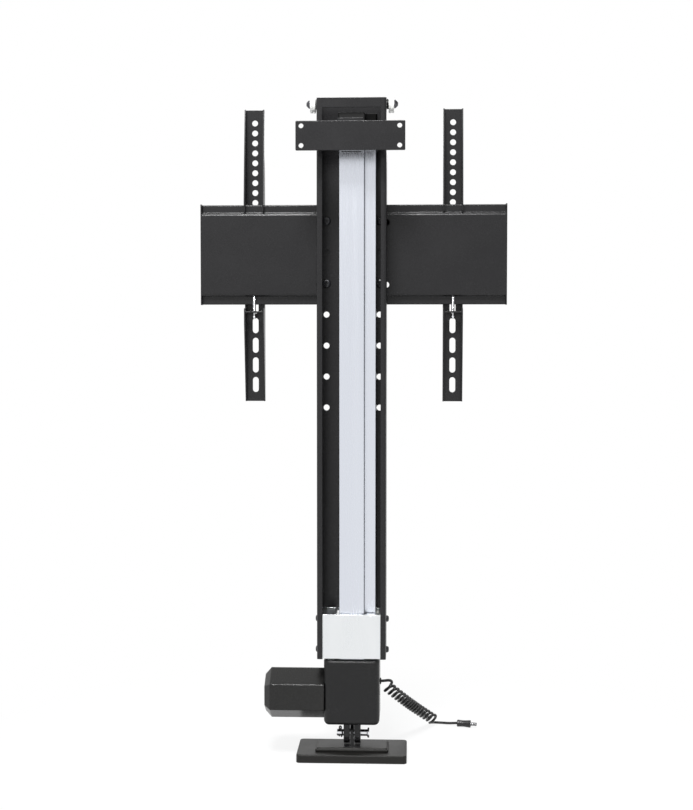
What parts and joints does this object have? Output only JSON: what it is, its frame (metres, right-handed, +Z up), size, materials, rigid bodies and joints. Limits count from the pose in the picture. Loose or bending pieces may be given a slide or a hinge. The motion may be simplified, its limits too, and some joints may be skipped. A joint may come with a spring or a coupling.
{
  "type": "electric tv lift",
  "caption": "Motorised column on a small base plate that raises a steel channel with a cross plate and two slotted arms for a flat television.",
  "frame": {"origin": "middle of the base plate's underside, on the floor", "axes": "+Z up along the column, +Y towards the television, +X across, away from the motor"},
  "size_m": [0.4614, 0.2648, 0.986],
  "materials": {
    "black_powder": "fine matt texture",
    "black_cast": "matt",
    "silver_extrusion": "satin anodised",
    "light_aluminium": "satin",
    "bright_zinc": "bright",
    "spring_steel": "dark",
    "machined_steel": "ground",
    "bronze": "machined",
    "black_screws": "black oxide",
    "motor_steel": "satin",
    "black_plastic": "fine grain",
    "white_nylon": "smooth",
    "black_rubber": "smooth",
    "plug_metal": "bright"
  },
  "bodies": {
    "base": {"base_plate": "black_powder", "foot_plate": "black_powder", "foot_screws": "bright_zinc", "hinge_tongue": "black_powder"},
    "column": {"clevis_fork": "black_powder", "fork_screws": "bright_zinc", "clevis_pin": "bright_zinc", "spring_clip": "spring_steel", "gearbox_housing": "black_cast", "gearbox_cover": "black_cast", "cover_screws": "bright_zinc", "motor_can": "motor_steel", "motor_cover": "black_plastic", "motor_screws": "bright_zinc", "lower_bearing": "machined_steel", "upper_bearing": "machined_steel", "worm_bushes": "bronze", "column": "silver_extrusion", "column_screws": "bright_zinc", "column_cap": "black_plastic", "top_bush": "light_aluminium", "limit_switches": "black_plastic", "mounting_bracket": "black_powder", "bracket_screws": "black_screws", "fixing_plate": "black_powder", "cord_grommet": "black_rubber", "cord_lead": "black_rubber", "cord_coil": "black_rubber", "cord_tail": "black_rubber", "plug_body": "black_rubber", "plug_tip": "plug_metal"},
    "carriage": {"carriage": "light_aluminium", "glide_pads": "white_nylon", "drive_nut": "bronze", "nut_bracket": "light_aluminium", "lift_channel": "black_powder", "carriage_screws": "black_screws", "top_bar": "black_powder", "tv_plate": "black_powder", "plate_screws": "black_screws", "plate_nuts": "black_screws", "roller_axles": "bright_zinc", "axle_washers": "black_plastic"},
    "lead_screw": {"lead_screw": "machined_steel", "worm_wheel": "bronze"},
    "worm": {"worm_shaft": "machined_steel"},
    "roller_left": {"lid_roller_left": "white_nylon"},
    "roller_right": {"lid_roller_right": "white_nylon"},
    "arm_left": {"arm_left": "black_powder"},
    "arm_right": {"arm_right": "black_powder"},
    "lock_left": {"lock_screw_left": "bright_zinc"},
    "lock_right": {"lock_screw_right": "bright_zinc"}
  },
  "joints": [
    {"name": "base_hinge", "type": "hinge", "parent": "base", "child": "column", "pos_m": [0, -0.003, 0.0353], "axis": [1, 0, 0], "range_deg": [-6, 6]},
    {"name": "lift_slide", "type": "slide", "parent": "column", "child": "carriage", "axis": [0, 0, 1], "range_m": [0, 0.66]},
    {"name": "screw_spin", "type": "hinge", "parent": "column", "child": "lead_screw", "pos_m": [0, -0.0156, 0.1], "axis": [0, 0, 1], "range_deg": [-29720, 20]},
    {"name": "worm_spin", "type": "hinge", "parent": "column", "child": "worm", "pos_m": [0, -0.001, 0.095], "axis": [1, 0, 0], "range_deg": [-267500, 200]},
    {"name": "roller_left_spin", "type": "hinge", "parent": "carriage", "child": "roller_left", "pos_m": [-0.0578, -0.01, 0.973], "axis": [1, 0, 0], "continuous": true},
    {"name": "roller_right_spin", "type": "hinge", "parent": "carriage", "child": "roller_right", "pos_m": [0.0578, -0.01, 0.973], "axis": [1, 0, 0], "continuous": true},
    {"name": "arm_left_slide", "type": "slide", "parent": "carriage", "child": "arm_left", "axis": [1, 0, 0], "range_m": [-0.06, 0.075]},
    {"name": "arm_right_slide", "type": "slide", "parent": "carriage", "child": "arm_right", "axis": [1, 0, 0], "range_m": [-0.075, 0.06]},
    {"name": "lock_left_slide", "type": "slide", "parent": "arm_left", "child": "lock_left", "axis": [0, 0, 1], "range_m": [-0.012, 0]},
    {"name": "lock_right_slide", "type": "slide", "parent": "arm_right", "child": "lock_right", "axis": [0, 0, 1], "range_m": [-0.012, 0]}
  ],
  "couplings": [
    {"joint": "screw_spin", "follows": "lift_slide", "rad_per_m": -785.4},
    {"joint": "worm_spin", "follows": "lift_slide", "rad_per_m": -7068.6}
  ]
}
